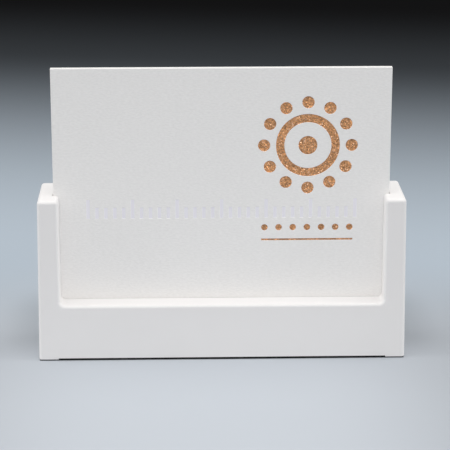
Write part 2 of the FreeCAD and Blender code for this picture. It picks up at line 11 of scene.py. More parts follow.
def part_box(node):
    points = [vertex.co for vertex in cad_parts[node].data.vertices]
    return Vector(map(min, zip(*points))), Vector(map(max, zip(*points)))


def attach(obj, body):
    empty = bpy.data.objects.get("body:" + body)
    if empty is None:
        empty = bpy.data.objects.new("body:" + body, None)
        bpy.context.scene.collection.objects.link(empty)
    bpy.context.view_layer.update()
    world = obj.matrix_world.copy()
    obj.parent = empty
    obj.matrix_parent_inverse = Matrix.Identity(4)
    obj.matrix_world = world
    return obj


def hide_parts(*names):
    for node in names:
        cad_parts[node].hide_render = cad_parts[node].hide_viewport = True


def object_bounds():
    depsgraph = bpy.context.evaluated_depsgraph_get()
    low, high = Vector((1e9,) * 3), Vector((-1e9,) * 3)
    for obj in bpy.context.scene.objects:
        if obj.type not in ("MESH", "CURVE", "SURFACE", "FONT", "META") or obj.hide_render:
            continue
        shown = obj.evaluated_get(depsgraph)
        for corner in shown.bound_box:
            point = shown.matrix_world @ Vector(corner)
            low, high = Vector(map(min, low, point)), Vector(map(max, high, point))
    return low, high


bl_info = {
    "name": "Desk Calendar With Phone Stand",
    "version": (1, 0, 0),
    "blender": (4, 5, 0),
    "location": "View3D > Sidebar > Desk Calendar",
    "description": "Dresses the packed desk calendar: finishes, printed cards, stage and camera",
    "category": "Object",
}

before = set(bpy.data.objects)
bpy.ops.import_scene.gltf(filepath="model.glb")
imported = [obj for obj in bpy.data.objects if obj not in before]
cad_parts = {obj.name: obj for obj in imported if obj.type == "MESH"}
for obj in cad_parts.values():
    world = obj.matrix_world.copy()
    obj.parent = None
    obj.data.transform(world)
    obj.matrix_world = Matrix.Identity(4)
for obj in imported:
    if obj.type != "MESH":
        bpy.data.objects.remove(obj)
cad_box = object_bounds()

MM = 0.001
MONTH_DAYS = (31, 28, 31, 30, 31, 30, 31, 31, 30, 31, 30, 31)
WEEK = 7
FIRST_COLUMN = 3
INK, ACCENT = 0, 1
SENSOR_WIDTH = 36.0
RIGHT_ANGLE = math.radians(90)
SHARP_ANGLE = math.radians(50)


class StandSettings(bpy.types.PropertyGroup):
    """Colours and small sizes of the stand and its pads."""

    housing_colour: FloatVectorProperty(
        name="Housing", description="Colour of the moulded white housing",
        subtype="COLOR", min=0, max=1, default=(0.904, 0.888, 0.883))
    plate_colour: FloatVectorProperty(
        name="Bottom plate", description="Colour of the plate that closes the underside",
        subtype="COLOR", min=0, max=1, default=(0.70, 0.70, 0.69))
    steel_colour: FloatVectorProperty(
        name="Screws", description="Colour of the zinc plated screws",
        subtype="COLOR", min=0, max=1, default=(0.62, 0.62, 0.60))
    # Black rubber, as dark as rubber gets, so that the feet also stand in for the shade in the gap under
    # the front wall: partly the rubber's own colour, partly painted shade.
    rubber_colour: FloatVectorProperty(
        name="Feet", description="Colour of the rubber feet",
        subtype="COLOR", min=0, max=1, default=(0.014, 0.014, 0.015))
    silicone_colour: FloatVectorProperty(
        name="Phone pads", description="Colour of the silicone pads that hold a phone",
        subtype="COLOR", min=0, max=1, default=(0.40, 0.41, 0.42))
    grain: FloatProperty(
        name="Mould grain", description="Size of the fine grain on the moulded plastic",
        unit="LENGTH", default=0.16 * MM)
    rib_height: FloatProperty(
        name="Rib height", description="How far the ribs of a pad stand up",
        unit="LENGTH", default=0.4 * MM)
    rib_pitch: FloatProperty(
        name="Rib pitch", description="Distance from one rib of a pad to the next",
        unit="LENGTH", default=1.6 * MM)
    pad_corner: FloatProperty(
        name="Pad corner", description="Corner radius of the pads and feet",
        unit="LENGTH", default=1.5 * MM)


class CardSettings(bpy.types.PropertyGroup):
    """Colours and print sizes of the cards."""

    cover_colour: FloatVectorProperty(
        name="Cover", description="Colour of the thick cover card",
        subtype="COLOR", min=0, max=1, default=(0.963, 0.950, 0.937))
    month_colour: FloatVectorProperty(
        name="Month cards", description="Colour of the month cards",
        subtype="COLOR", min=0, max=1, default=(0.92, 0.91, 0.895))
    pearl_colour: FloatVectorProperty(
        name="Pearl varnish", description="Colour of the varnish in the pressed bars of the cover",
        subtype="COLOR", min=0, max=1, default=(0.96, 0.94, 1.0))
    foil_colour: FloatVectorProperty(
        name="Foil", description="Colour of the glittering copper foil",
        subtype="COLOR", min=0, max=1, default=(0.80, 0.40, 0.182))
    ink_colour: FloatVectorProperty(
        name="Ink", description="Colour of the printed day numbers",
        subtype="COLOR", min=0, max=1, default=(0.055, 0.055, 0.06))
    accent_colour: FloatVectorProperty(
        name="Accent ink", description="Colour of the month number and of the first weekday",
        subtype="COLOR", min=0, max=1, default=(0.50, 0.22, 0.09))
    fibre: FloatProperty(
        name="Paper fibre", description="Size of the mottled fibre on the cover",
        unit="LENGTH", default=0.7 * MM)
    fibre_stretch: FloatProperty(
        name="Fibre stretch", description="How many times longer the fibre is across than up",
        min=1, default=2.5)
    cover_tooth: FloatProperty(
        name="Cover tooth", description="Depth of the relief on the cover's paper",
        unit="LENGTH", default=0.07 * MM)
    month_tooth: FloatProperty(
        name="Month tooth", description="Depth of the relief on the month cards' paper",
        unit="LENGTH", default=0.01 * MM)
    glitter: FloatProperty(
        name="Glitter grain", description="Size of one grain of the foil",
        unit="LENGTH", default=0.45 * MM)
    foil_rise: FloatProperty(
        name="Foil rise", description="How far the foil climbs the walls of the pressed shapes",
        unit="LENGTH", default=0.12 * MM)
    foil_rim: FloatProperty(
        name="Foil rim", description="Width of the edge along which the foil climbs",
        unit="LENGTH", default=0.5 * MM)
    print_thickness: FloatProperty(
        name="Ink thickness", description="Thickness of the printed ink",
        unit="LENGTH", default=0.02 * MM)
    ruling_thickness: FloatProperty(
        name="Ruling thickness", description="Thickness of the ruling printed on a card's back",
        unit="LENGTH", default=0.01 * MM)
    side_margin: FloatProperty(
        name="Side margin", description="Blank margin at the sides of a month card",
        unit="LENGTH", default=14 * MM)
    top_margin: FloatProperty(
        name="Top margin", description="Blank margin over the month number",
        unit="LENGTH", default=12 * MM)
    heading_height: FloatProperty(
        name="Month number", description="Height of the month number",
        unit="LENGTH", default=13 * MM)
    number_height: FloatProperty(
        name="Day number", description="Height of the day numbers",
        unit="LENGTH", default=4 * MM)
    row_pitch: FloatProperty(
        name="Week pitch", description="Distance from one week's row to the next",
        unit="LENGTH", default=11.5 * MM)
    line_height: FloatProperty(
        name="Rule", description="Height of a printed rule",
        unit="LENGTH", default=0.35 * MM)
    ruled_lines: IntProperty(
        name="Ruled lines", description="Lines for notes on a month card's back",
        min=0, default=9)


class StageSettings(bpy.types.PropertyGroup):
    """Floor, light and camera."""

    floor_colour: FloatVectorProperty(
        name="Floor", description="Colour of the floor round the object",
        subtype="COLOR", min=0, max=1, default=(0.525, 0.560, 0.606))
    # Painted shade: the floor close behind the object is a darker copy of the floor colour.
    back_colour: FloatVectorProperty(
        name="Floor behind", description="Colour of the floor close behind the object",
        subtype="COLOR", min=0, max=1, default=(0.416, 0.475, 0.537))
    # Painted darkness: the floor far behind the object, and every painted shade on the floor, blend
    # towards this colour.
    far_colour: FloatVectorProperty(
        name="Far floor", description="Colour of the floor far behind the object",
        subtype="COLOR", min=0, max=1, default=(0.0072, 0.0072, 0.0076))
    # The fade settings place the painted falloff of light far behind the object.
    fade_start: FloatProperty(
        name="Fade start", description="How far behind the object the floor starts to darken",
        unit="LENGTH", default=0.15)
    fade_end: FloatProperty(
        name="Fade end", description="How far behind the object the floor is darkest",
        unit="LENGTH", default=0.745)
    fade_skew: FloatProperty(
        name="Fade skew", description="How much nearer the floor darkens per metre to the right",
        default=0.18)
    # The front settings place the painted falloff of light on the floor far in front of the object.
    front_shade: FloatProperty(
        name="Front shade", description="How much darker the floor is far in front of the object",
        subtype="FACTOR", min=0, max=1, default=0.6)
    front_start: FloatProperty(
        name="Front start", description="How far in front of the object the floor starts to darken",
        unit="LENGTH", default=0.16)
    front_end: FloatProperty(
        name="Front end", description="How far in front of the object the floor stops darkening",
        unit="LENGTH", default=0.45)
    # The side settings place the painted falloff of light on the floor out at the sides.
    side_shade: FloatProperty(
        name="Side shade", description="How much darker the floor is out at the sides",
        subtype="FACTOR", min=0, max=1, default=0.23)
    side_offset: FloatProperty(
        name="Side offset", description="How far to the left of the middle the floor is lightest",
        unit="LENGTH", default=0.012)
    side_reach: FloatProperty(
        name="Side reach", description="How far out at the sides the floor is darkest",
        unit="LENGTH", default=0.14)
    # Painted contact shadow on the floor close beside the object; contact_reach sets how far out it
    # reaches.
    contact_shade: FloatProperty(
        name="Contact shade", description="How much darker the floor is close beside the object",
        subtype="FACTOR", min=0, max=1, default=0.20)
    # Painted shadow on the floor under the object's footprint.
    under_shade: FloatProperty(
        name="Under shade", description="How much darker the floor is under the object",
        subtype="FACTOR", min=0, max=1, default=0.85)
    contact_reach: FloatProperty(
        name="Contact reach", description="How far out from the object's sides that shade ends",
        unit="LENGTH", default=0.028)
    lamp_place: FloatVectorProperty(
        name="Lamp", description="Place of the wide soft lamp over the object",
        subtype="TRANSLATION", unit="LENGTH", default=(0.06, -0.75, 1.9))
    lamp_width: FloatProperty(
        name="Lamp width", description="Width of the soft lamp", unit="LENGTH", default=4.8)
    lamp_depth: FloatProperty(
        name="Lamp depth", description="Depth of the soft lamp", unit="LENGTH", default=3.2)
    lamp_power: FloatProperty(
        name="Lamp power", description="Power of the soft lamp", unit="POWER", default=50.5)
    lamp_colour: FloatVectorProperty(
        name="Lamp colour", description="Colour of the soft lamp",
        subtype="COLOR", min=0, max=1, default=(1.0, 0.99, 0.975))
    panel_place: FloatVectorProperty(
        name="Side panel", description="Place of the right hand soft panel; its twin is on the left",
        subtype="TRANSLATION", unit="LENGTH", default=(2.25, -0.30, 1.00))
    panel_width: FloatProperty(
        name="Panel width", description="Width of a side panel", unit="LENGTH", default=0.60)
    panel_height: FloatProperty(
        name="Panel height", description="Height of a side panel", unit="LENGTH", default=1.30)
    panel_power: FloatProperty(
        name="Panel power", description="Power of each side panel", unit="POWER", default=10.5)
    sky: FloatProperty(
        name="Sky", description="Strength of the even light from all round", min=0, default=0.51)
    camera_place: FloatVectorProperty(
        name="Camera", description="Place of the camera",
        subtype="TRANSLATION", unit="LENGTH", default=(-22.3 * MM, -885.1 * MM, 325.77 * MM))
    camera_yaw: FloatProperty(
        name="Yaw", description="Turn of the camera about the upright",
        unit="ROTATION", default=math.radians(-1.563))
    camera_pitch: FloatProperty(
        name="Pitch", description="How far the camera looks down",
        unit="ROTATION", default=math.radians(16.49))
    camera_roll: FloatProperty(
        name="Roll", description="Tilt of the camera about its own line of sight",
        unit="ROTATION", default=math.radians(-0.02))
    focal_length: FloatProperty(
        name="Focal length", description="Focal length in millimetres on a 36 mm sensor",
        default=148.49)


class Value:
    """A socket that takes part in arithmetic: each operation on it adds a Math node."""

    def __init__(self, nodes, socket):
        self.nodes = nodes
        self.socket = socket

    def maths(self, operation, first, second):
        return self.nodes.add("ShaderNodeMath", {"operation": operation}, {0: first, 1: second})

    def __add__(self, other):
        return self.maths("ADD", self, other)

    __radd__ = __add__

    def __mul__(self, other):
        return self.maths("MULTIPLY", self, other)

    __rmul__ = __mul__

    def __sub__(self, other):
        return self.maths("SUBTRACT", self, other)

    def __rsub__(self, other):
        return self.maths("SUBTRACT", other, self)

    def __gt__(self, other):
        return self.maths("GREATER_THAN", self, other)

    def __lt__(self, other):
        return self.maths("LESS_THAN", self, other)


class Nodes:
    """A node tree that grows through one method."""

    def __init__(self, tree):
        self.tree = tree
        tree.nodes.clear()

    def add(self, kind, settings, sockets, output=0):
        """Adds a node, sets it up and returns one of its outputs."""
        node = self.tree.nodes.new(kind)
        for name, setting in settings.items():
            setattr(node, name, setting)
        for name, given in sockets.items():
            if isinstance(given, Value):
                self.tree.links.new(given.socket, node.inputs[name])
            else:
                node.inputs[name].default_value = given
        return Value(self, node.outputs[output]) if node.outputs else None

    def place(self):
        """Where a point is in the object's own frame, in metres."""
        return self.add("ShaderNodeTexCoord", {}, {}, "Object")

    def axis(self, vector, name):
        """One part of a vector."""
        return self.add("ShaderNodeSeparateXYZ", {}, {"Vector": vector}, name)

    def vector(self, operation, first, second):
        """Vector Math on two vectors."""
        return self.add("ShaderNodeVectorMath", {"operation": operation}, {0: first, 1: second})

    def noise(self, size, detail=2.0, stretch=1.0):
        """Cloudy values from 0 to 1 with features of about that size, stretched along X."""
        place = self.place()
        if stretch != 1.0:
            place = self.vector("DIVIDE", place, (stretch, 1, 1))
        sockets = {"Vector": place, "Scale": 1 / size, "Detail": detail}
        return self.add("ShaderNodeTexNoise", {}, sockets)

    def cells(self, size, output):
        """A pattern of cells of about that size: their distances, colours or positions."""
        sockets = {"Vector": self.place(), "Scale": 1 / size}
        return self.add("ShaderNodeTexVoronoi", {}, sockets, output)

    def ease(self, value, low, high):
        """0 up to low, 1 from high on, and smooth in between."""
        return self.add("ShaderNodeMapRange", {"interpolation_type": "SMOOTHSTEP"},
                        {"Value": value, "From Min": low, "From Max": high})

    def blend(self, factor, first, second):
        """The first colour where factor is 0 and the second where it is 1."""
        first, second = (end if isinstance(end, Value) else opaque(end) for end in (first, second))
        return self.add("ShaderNodeMix", {"data_type": "RGBA"}, {0: factor, 6: first, 7: second}, 2)

    def bump(self, height, depth, under=None):
        """A normal for a relief of that depth, over another one if it is given."""
        sockets = {"Height": height, "Distance": depth, "Strength": 1.0}
        if under:
            sockets["Normal"] = under
        return self.add("ShaderNodeBump", {}, sockets)

    def surface(self, sockets):
        """A principled surface as the material's output."""
        shader = self.add("ShaderNodeBsdfPrincipled", {}, sockets)
        self.add("ShaderNodeOutputMaterial", {}, {"Surface": shader})


def opaque(colour):
    """A colour with full alpha."""
    return (*tuple(colour)[:3], 1.0)


def shade(colour, share):
    """A colour made darker or lighter by one share."""
    return tuple(channel * share for channel in colour)


def new_finish(name):
    """A new material and its empty node tree."""
    material = bpy.data.materials.new(name)
    material.use_nodes = True
    return material, Nodes(material.node_tree)


def dress(material, *nodes):
    """Puts a material on parts of the frame."""
    for node in nodes:
        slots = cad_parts[node].data.materials
        slots.clear()
        slots.append(material)


def new_piece(name, mesh_maker, body, *materials):
    """A piece from a bmesh, riding on a body."""
    mesh = bpy.data.meshes.new(name)
    bmesh.ops.recalc_face_normals(mesh_maker, faces=mesh_maker.faces)
    mesh_maker.to_mesh(mesh)
    mesh_maker.free()
    for material in materials:
        mesh.materials.append(material)
    piece = bpy.data.objects.new(name, mesh)
    bpy.context.scene.collection.objects.link(piece)
    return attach(piece, body)


def plastic_finish(name, colour, grain):
    """Moulded plastic: a fine eroded grain, slow changes of tone and a few specks of dust."""
    drift_size, drift_depth, grain_depth = 40 * MM, 0.05 * MM, 0.008 * MM
    speck_pitch, speck_share, speck_strength = 9 * MM, 0.018, 0.5
    dusty_size, dusty_above = 25 * MM, 0.56
    material, nodes = new_finish(name)
    drift = nodes.noise(drift_size)
    fine = nodes.noise(grain, 3.0)
    tone = nodes.blend(nodes.ease(drift, 0.3, 0.7), shade(colour, 0.985), colour)
    near = nodes.cells(speck_pitch, "Distance")
    speck = (near < speck_share) * (nodes.noise(dusty_size) > dusty_above)
    tone = nodes.blend(speck * speck_strength, tone, shade(colour, 0.45))
    nodes.surface({
        "Base Color": tone,
        "Roughness": 0.40 + 0.12 * fine + 0.05 * drift,
        "Specular IOR Level": 0.35,
        "Normal": nodes.bump(fine, grain_depth, nodes.bump(drift, drift_depth)),
    })
    return material


def steel_finish(name, colour):
    """Zinc plated steel with fine turning marks and a slight cloudiness."""
    cloud_size, mark_size, mark_depth = 0.9 * MM, 0.12 * MM, 0.006 * MM
    material, nodes = new_finish(name)
    cloud = nodes.noise(cloud_size, 3.0)
    marks = nodes.noise(mark_size)
    nodes.surface({
        "Base Color": nodes.blend(cloud, shade(colour, 0.82), colour),
        "Metallic": 1.0,
        "Roughness": 0.28 + 0.22 * cloud,
        "Normal": nodes.bump(marks, mark_depth),
    })
    return material


def rubber_finish(name, colour, roughness, dustiness):
    """Rubber or silicone with a soft, slightly dusty skin."""
    skin_size, skin_depth, dust_size = 0.25 * MM, 0.012 * MM, 3 * MM
    dust_colour = (0.5, 0.5, 0.49)
    material, nodes = new_finish(name)
    skin = nodes.noise(skin_size, 3.0)
    dust = nodes.noise(dust_size, 4.0)
    dusty = nodes.ease(dust, 0.45, 0.8) * dustiness
    nodes.surface({
        "Base Color": nodes.blend(dusty, colour, dust_colour),
        "Roughness": roughness + 0.12 * dust,
        "Specular IOR Level": 0.3,
        "Normal": nodes.bump(skin, skin_depth),
    })
    return material


def pressed_floor(nodes, face, least, most):
    """1 on faces that look to the front and lie between two depths behind a card's face."""
    facing_front = -0.9
    depth = nodes.axis(nodes.place(), "Y") - face
    turned = nodes.axis(nodes.add("ShaderNodeNewGeometry", {}, {}, "Normal"), "Y")
    return (depth > least) * (depth < most) * (turned < facing_front)


def paper_finish(name, colour, fibre, stretch, depth, pearl=None):
    """Uncoated card: fibre under a fine tooth, and pearl varnish where the card is pressed in."""
    least_press, most_press = 0.1 * MM, 0.3 * MM
    smoothing = 0.9
    material, nodes = new_finish(name)
    mottle = nodes.noise(fibre, 2.0, stretch)
    tooth = nodes.noise(fibre / 3)
    cloud = nodes.noise(12 * fibre)
    tone = nodes.blend(nodes.ease(mottle, 0.25, 0.75), shade(colour, 0.957), shade(colour, 1.02))
    tone = nodes.blend(nodes.ease(cloud, 0.3, 0.7) * 0.4, tone, shade(colour, 0.985))
    roughness = 0.82 + 0.1 * mottle
    if pearl:
        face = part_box("cover_card")[0].y
        varnish = pressed_floor(nodes, face, least_press, most_press)
        tone = nodes.blend(varnish, tone, pearl)
        roughness = roughness - 0.4 * varnish
        bare = 1 - smoothing * varnish
        mottle = mottle * bare
        tooth = tooth * bare
    nodes.surface({
        "Base Color": tone,
        "Roughness": roughness,
        "Specular IOR Level": 0.2,
        "Normal": nodes.bump(tooth, depth / 7, nodes.bump(mottle, depth)),
    })
    return material


def foil_finish(name, colour, grain):
    """Copper glitter foil: each grain is a small facet with its own lean and brightness, and the
    brightest grains carry painted glints.
    """
    # Colour, share and threshold of the painted glints on the brightest grains.
    glint_colour, glint_strength = (0.95, 0.78, 0.66), 0.4
    glint_above, shiny_above = 0.9, 0.6
    steepness = 1.5
    material, nodes = new_finish(name)
    sparkle = nodes.cells(grain, "Color")
    level, lean_across, lean_up = (
        nodes.add("ShaderNodeSeparateColor", {}, {"Color": sparkle}, channel)
        for channel in ("Red", "Green", "Blue"))
    inside = nodes.vector("SUBTRACT", nodes.place(), nodes.cells(grain, "Position"))
    facet = nodes.axis(inside, "X") * (lean_across - 0.5)
    facet = facet + nodes.axis(inside, "Z") * (lean_up - 0.5)
    tone = nodes.blend(nodes.ease(level, 0.1, 0.9), shade(colour, 0.6), shade(colour, 1.25))
    # Painted glints: the brightest grains are blended towards a pale colour that stands in for light
    # glinting off them.
    tone = nodes.blend((level > glint_above) * glint_strength, tone, glint_colour)
    nodes.surface({
        "Base Color": tone,
        "Metallic": 0.3 + 0.5 * (level > shiny_above),
        "Roughness": 0.45 - 0.2 * level,
        "Normal": nodes.bump(facet, steepness),
    })
    return material


def ink_finish(name, colour):
    """Printed ink that lets a little of the card's tooth show."""
    tooth_size = 0.2 * MM
    material, nodes = new_finish(name)
    tooth = nodes.noise(tooth_size, 3.0)
    nodes.surface({
        "Base Color": nodes.blend(tooth, shade(colour, 0.85), shade(colour, 1.2)),
        "Roughness": 0.6 + 0.15 * tooth,
        "Specular IOR Level": 0.25,
    })
    return material


def ribbed_strip(length, width, height, settings):
    """A closed strip along X on z = 0, with rounded corners and round ribs along its top."""
    steps_per_rib, corner_steps, swell_steps = 8, 6, 4
    swell_length = 1.2 * MM
    corner = min(settings.pad_corner, width / 3)
    ribs = max(1, round(width / settings.rib_pitch))
    ends = []
    for step in range(corner_steps + 1):
        angle = RIGHT_ANGLE * step / corner_steps
        ends.append((corner * (1 - math.cos(angle)), corner * (1 - math.sin(angle)), 0.0))
    for step in range(1, swell_steps + 1):
        share = step / swell_steps
        ends.append((corner + swell_length * share, 0.0, share * share * (3 - 2 * share)))
    stations = [(-length / 2 + x, inset, swell) for x, inset, swell in ends]
    stations += [(length / 2 - x, inset, swell) for x, inset, swell in reversed(ends)]
    maker = bmesh.new()
    loops = []
    for x, inset, swell in stations:
        half = width / 2 - inset
        loop = [maker.verts.new((x, -half, 0))]
        for step in range(ribs * steps_per_rib + 1):
            share = step / (ribs * steps_per_rib)
            dip = 1 - swell * abs(math.sin(math.pi * ribs * share))
            top = height - settings.rib_height * dip
            loop.append(maker.verts.new((x, half * (2 * share - 1), top)))
        loop.append(maker.verts.new((x, half, 0)))
        loops.append(loop)
    for first, second in zip(loops, loops[1:]):
        for at in range(len(first)):
            maker.faces.new((first[at - 1], first[at], second[at], second[at - 1]))
    maker.faces.new(loops[0])
    maker.faces.new(reversed(loops[-1]))
    for face in maker.faces:
        face.smooth = True
    return maker


def lay_strip(node, along, across, up, finish, settings):
    """A ribbed strip in a pad's place: its length, width and ribs follow the given directions."""
    low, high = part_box(node)
    size = high - low
    along, across, up = Vector(along), Vector(across), Vector(up)
    spans = [abs(size.dot(axis)) for axis in (along, across, up)]
    foot = (low + high) / 2 - up * spans[2] / 2
    maker = ribbed_strip(*spans, settings)
    turn = Matrix((along, across, up)).transposed().to_4x4()
    maker.transform(Matrix.Translation(foot) @ turn)
    piece = new_piece(f"{node}_ribbed", maker, "stand", finish)
    piece.data.set_sharp_from_angle(angle=SHARP_ANGLE)
    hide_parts(node)


def separate_parts(mesh):
    """The lowest and highest corner of each separate part of a mesh, and its points."""
    same_point = 0.001 * MM
    maker = bmesh.new()
    maker.from_mesh(mesh)
    bmesh.ops.remove_doubles(maker, verts=maker.verts, dist=same_point)
    unseen = dict.fromkeys(maker.verts)
    parts = []
    while unseen:
        walk = [unseen.popitem()[0]]
        points = []
        while walk:
            vertex = walk.pop()
            points.append(vertex.co.copy())
            for edge in vertex.link_edges:
                near = edge.other_vert(vertex)
                if near in unseen:
                    del unseen[near]
                    walk.append(near)
        low = Vector(min(point[axis] for point in points) for axis in range(3))
        high = Vector(max(point[axis] for point in points) for axis in range(3))
        parts.append((low, high, points))
    maker.free()
    return parts


def dished_profile(inner, outer, front, back, cards):
    """Half a section of a foil shape as radius and depth, from the inner edge round to the back."""
    climb_steps = 6
    rim = min(cards.foil_rim, (outer - inner) / 3)
    shares = [step / climb_steps for step in range(climb_steps + 1)]
    climb = [(rim * share, front - cards.foil_rise * share * share) for share in shares]
    edge = [(outer - rim + reach, depth) for reach, depth in climb]
    if inner:
        start = [(inner + rim - reach, depth) for reach, depth in reversed(climb)]
        return [(inner, back), *start, *edge, (outer, back)]
    return [(0.0, front), *edge, (outer, back), (0.0, back)]


def lathe(maker, centre, profile, steps):
    """Turns a closed section of radii and depths about an axis along Y."""
    angles = [2 * math.pi * step / steps for step in range(steps)]
    rings = []
    for radius, depth in profile:
        ring = []
        for angle in angles if radius else (0.0,):
            x = centre.x + radius * math.cos(angle)
            z = centre.z + radius * math.sin(angle)
            ring.append(maker.verts.new((x, depth, z)))
        rings.append(ring)
    for first, second in zip(rings, rings[1:] + rings[:1]):
        for at in range(steps):
            near = [ring[at % len(ring)] for ring in (first, second)]
            far = [ring[(at + 1) % len(ring)] for ring in (second, first)]
            corners = list(dict.fromkeys(near + far))
            if len(corners) > 2:
                maker.faces.new(corners)


def dished_bar(maker, low, high, cards):
    """A straight foil bar whose edges climb the walls on all sides."""
    climb = (1.0, 0.66, 0.33, 0.0)
    rim = min(cards.foil_rim, (high.z - low.z) / 3)
    levels = [(0.0, high.y)]
    levels += [(rim * (1 - share), low.y - cards.foil_rise * share * share) for share in climb]
    loops = []
    for inset, depth in levels:
        corners = ((low.x + inset, low.z + inset), (high.x - inset, low.z + inset),
                   (high.x - inset, high.z - inset), (low.x + inset, high.z - inset))
        loops.append([maker.verts.new((x, depth, z)) for x, z in corners])
    for first, second in zip(loops, loops[1:]):
        for at in range(4):
            maker.faces.new((first[at - 1], first[at], second[at], second[at - 1]))
    maker.faces.new(loops[0])
    maker.faces.new(loops[-1])


def pressed_foil(mesh, cards):
    """The foil of every pressed shape, dished at its edges: discs, a ring and a bar."""
    clear = 0.02 * MM
    ring_steps, disc_steps = 120, 64
    inward = Vector((clear, 0, clear))
    maker = bmesh.new()
    for low, high, points in separate_parts(mesh):
        size = high - low
        if size.x > 2 * size.z:
            dished_bar(maker, low + inward, high - inward, cards)
            continue
        centre = (low + high) / 2
        outer = size.x / 2
        inner = min(math.hypot(point.x - centre.x, point.z - centre.z) for point in points)
        is_ring = inner < 0.9 * outer
        inner = inner + clear if is_ring else 0.0
        profile = dished_profile(inner, outer - clear, low.y, high.y, cards)
        lathe(maker, centre, profile, ring_steps if is_ring else disc_steps)
    for face in maker.faces:
        face.smooth = True
    return maker


def figure_shapes():
    """A flat mesh of each day's number, one unit high, with its foot's middle at the origin."""
    shapes = {}
    for number in range(1, max(MONTH_DAYS) + 1):
        text = bpy.data.curves.new("figure", "FONT")
        text.body = str(number)
        text.align_x = "CENTER"
        text.resolution_u = 4
        holder = bpy.data.objects.new("figure", text)
        bpy.context.scene.collection.objects.link(holder)
        depsgraph = bpy.context.evaluated_depsgraph_get()
        shape = bpy.data.meshes.new_from_object(holder.evaluated_get(depsgraph))
        bpy.data.objects.remove(holder)
        bpy.data.curves.remove(text)
        levels = [vertex.co.y for vertex in shape.vertices]
        foot, height = min(levels), max(levels) - min(levels)
        shape.transform(Matrix.Scale(1 / height, 4) @ Matrix.Translation((0, -foot, 0)))
        shapes[number] = shape
    return shapes


def stamp(maker, shape, place, height, ink):
    """Adds a flat figure, upright and facing the front, with its foot at a place."""
    verts_before = len(maker.verts)
    faces_before = len(maker.faces)
    maker.from_mesh(shape)
    maker.verts.ensure_lookup_table()
    maker.faces.ensure_lookup_table()
    upright = Matrix.Rotation(RIGHT_ANGLE, 4, "X")
    matrix = Matrix.Translation(place) @ upright @ Matrix.Scale(height, 4)
    bmesh.ops.transform(maker, matrix=matrix, verts=maker.verts[verts_before:])
    for face in maker.faces[faces_before:]:
        face.material_index = ink


def flat_bar(maker, left, right, low, high, depth, ink):
    """Adds a flat upright rectangle at a depth."""
    corners = ((left, low), (right, low), (right, high), (left, high))
    face = maker.faces.new([maker.verts.new((x, depth, z)) for x, z in corners])
    face.material_index = ink


def thicken(maker, start, end):
    """Turns flat print into closed solids between two depths."""
    same_point = 0.0005 * MM
    bmesh.ops.remove_doubles(maker, verts=maker.verts, dist=same_point)
    for vertex in maker.verts:
        vertex.co.y = start
    grown = bmesh.ops.extrude_face_region(maker, geom=maker.faces[:])["geom"]
    for part in grown:
        if isinstance(part, bmesh.types.BMVert):
            part.co.y = end


def front_print(month, shapes, low, high, cards):
    """The month number, a rule, the weekday marks and the day numbers of one month."""
    rule_gap, mark_gap, first_week_gap = 5 * MM, 6 * MM, 14 * MM
    half_mark, half_digit = 1.5 * MM, 0.4 * cards.heading_height
    maker = bmesh.new()
    left, right = low.x + cards.side_margin, high.x - cards.side_margin
    column = (right - left) / WEEK
    middles = [left + column * (weekday + 0.5) for weekday in range(WEEK)]
    inks = [ACCENT] + [INK] * (WEEK - 1)
    foot = high.z - cards.top_margin - cards.heading_height
    heading = (left + half_digit * len(str(month)), low.y, foot)
    stamp(maker, shapes[month], heading, cards.heading_height, ACCENT)
    rule = foot - rule_gap
    flat_bar(maker, left, right, rule, rule + cards.line_height, low.y, INK)
    mark = rule - mark_gap
    for middle, ink in zip(middles, inks):
        mark_top = mark + 2 * cards.line_height
        flat_bar(maker, middle - half_mark, middle + half_mark, mark, mark_top, low.y, ink)
    first = (FIRST_COLUMN + sum(MONTH_DAYS[:month - 1])) % WEEK
    for day in range(1, MONTH_DAYS[month - 1] + 1):
        week, weekday = divmod(first + day - 1, WEEK)
        place = (middles[weekday], low.y, rule - first_week_gap - week * cards.row_pitch)
        stamp(maker, shapes[day], place, cards.number_height, inks[weekday])
    thicken(maker, low.y + cards.print_thickness / 4, low.y - cards.print_thickness)
    return maker


def back_print(low, high, cards):
    """Ruled lines for notes on a month card's back."""
    maker = bmesh.new()
    left, right = low.x + cards.side_margin, high.x - cards.side_margin
    for line in range(cards.ruled_lines):
        level = high.z - cards.top_margin - line * cards.row_pitch
        flat_bar(maker, left, right, level - cards.line_height, level, high.y, INK)
    thicken(maker, high.y - cards.ruling_thickness / 4, high.y + cards.ruling_thickness)
    return maker


class DESK_CALENDAR_OT_housing(bpy.types.Operator):
    """Give the housing its matt white moulded finish"""

    bl_idname = "desk_calendar.housing"
    bl_label = "Housing"

    def execute(self, context):
        settings = context.scene.calendar_stand
        dress(plastic_finish("white_moulding", settings.housing_colour, settings.grain), "housing")
        return {"FINISHED"}


class DESK_CALENDAR_OT_underside(bpy.types.Operator):
    """Finish the bottom plate and its screws, and lay ribbed rubber feet"""

    bl_idname = "desk_calendar.underside"
    bl_label = "Underside"

    def execute(self, context):
        settings = context.scene.calendar_stand
        plate = plastic_finish("plate_moulding", settings.plate_colour, 2 * settings.grain)
        dress(plate, "bottom_plate")
        dress(steel_finish("zinc_plated_steel", settings.steel_colour), "plate_screws")
        # The feet's near-black rubber doubles as painted shade in the gap under the front wall; little
        # dust keeps it dark.
        rubber = rubber_finish("foot_rubber", settings.rubber_colour, roughness=0.7, dustiness=0.08)
        for node in ("foot_pad_front", "foot_pad_rear"):
            lay_strip(node, (1, 0, 0), (0, -1, 0), (0, 0, -1), rubber, settings)
        return {"FINISHED"}


